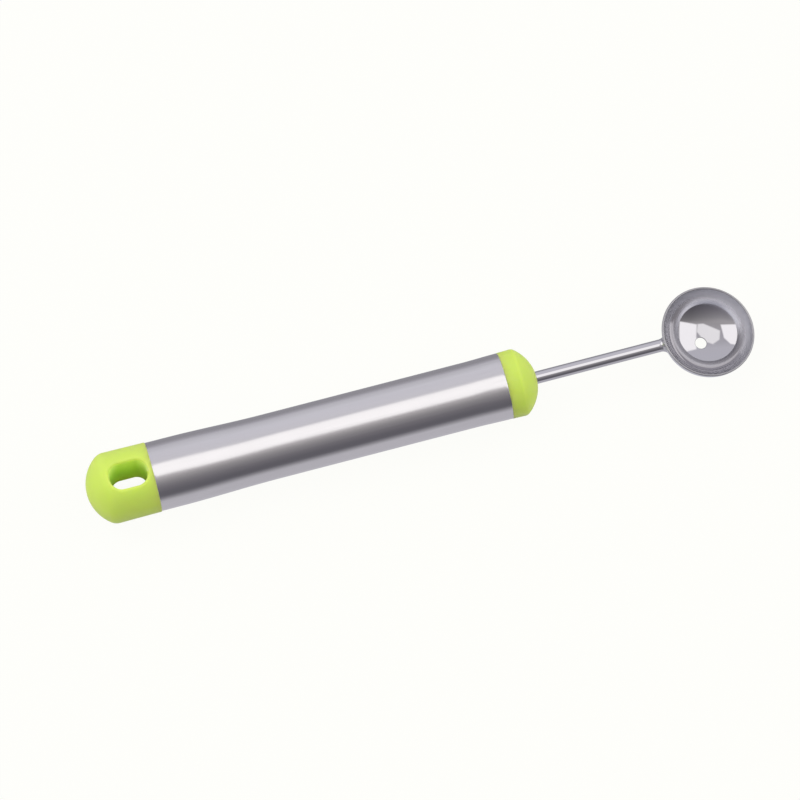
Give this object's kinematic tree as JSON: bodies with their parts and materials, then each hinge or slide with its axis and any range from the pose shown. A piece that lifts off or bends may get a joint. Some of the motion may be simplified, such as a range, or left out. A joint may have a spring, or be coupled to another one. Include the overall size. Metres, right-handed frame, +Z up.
{
  "type": "melon baller",
  "caption": "Melon baller: a round steel bowl with a vent, welded to a rod, on a swaged steel tube handle between two green caps with a hanging slot.",
  "frame": {"origin": "bottom centre of the tool as it lies on a table", "axes": "+X along the handle towards the scoop, +Z up out of the bowl and along the hanging slot, +Y to the left seen from behind the handle"},
  "size_m": [0.2178, 0.03, 0.0226],
  "materials": {
    "polished_steel": "polished",
    "weld_steel": "satin",
    "rod_steel": "polished",
    "brushed_tube": "satin",
    "cap_plastic": "satin"
  },
  "bodies": {
    "root": {"scoop_bowl": "polished_steel", "bowl_weld": "weld_steel", "shank": "rod_steel", "front_cap": "cap_plastic", "handle_tube": "brushed_tube", "end_cap": "cap_plastic"}
  },
  "joints": []
}
